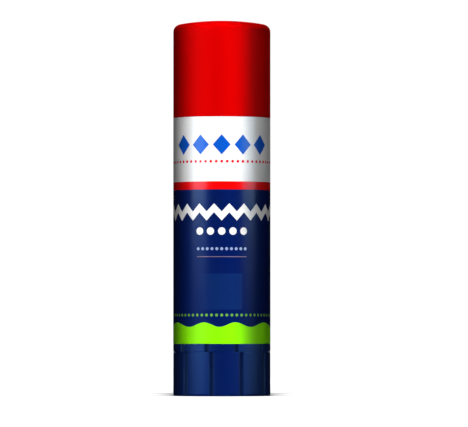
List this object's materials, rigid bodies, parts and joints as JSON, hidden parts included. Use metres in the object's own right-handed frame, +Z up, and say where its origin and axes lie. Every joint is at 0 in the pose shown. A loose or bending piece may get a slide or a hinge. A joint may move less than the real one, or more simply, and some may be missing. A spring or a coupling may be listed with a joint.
{
  "type": "glue stick",
  "caption": "Twist-up stick of solid adhesive in a round labelled barrel, with a push-on domed cap and a fluted turning base.",
  "frame": {"origin": "centre of the knob's underside, on the surface that the stick stands on", "axes": "+Z up along the stick, from the knob to the cap; -Y out of the front of the label; +X to the right as the front is seen"},
  "size_m": [0.025, 0.0251, 0.0964],
  "materials": {
    "cap_red": "smooth moulded polypropylene, semi-gloss",
    "barrel_navy": "smooth moulded polypropylene, semi-gloss",
    "label_print": "printed film under a clear gloss varnish",
    "knob_navy": "smooth moulded polypropylene, semi-gloss",
    "carrier_natural": "natural moulded polypropylene",
    "spindle_natural": "natural moulded polypropylene",
    "glue_white": "waxy white adhesive"
  },
  "bodies": {
    "barrel": {"barrel": "barrel_navy", "label": "label_print"},
    "knob": {"knob": "knob_navy", "spindle": "spindle_natural"},
    "carrier": {"carrier": "carrier_natural", "glue": "glue_white"},
    "cap": {"cap": "cap_red"}
  },
  "joints": [
    {"name": "knob_turn", "type": "hinge", "parent": "barrel", "child": "knob", "pos_m": [0, 0, 0], "axis": [0, 0, 1], "range_deg": [0, 5580]},
    {"name": "carrier_lift", "type": "slide", "parent": "barrel", "child": "carrier", "axis": [0, 0, 1], "range_m": [0, 0.062]},
    {"name": "cap_lift", "type": "slide", "parent": "carrier", "child": "cap", "axis": [0, 0, 1], "range_m": [0, 0.04]}
  ],
  "couplings": [
    {"joint": "knob_turn", "follows": "carrier_lift", "rad_per_m": 1570.8}
  ]
}
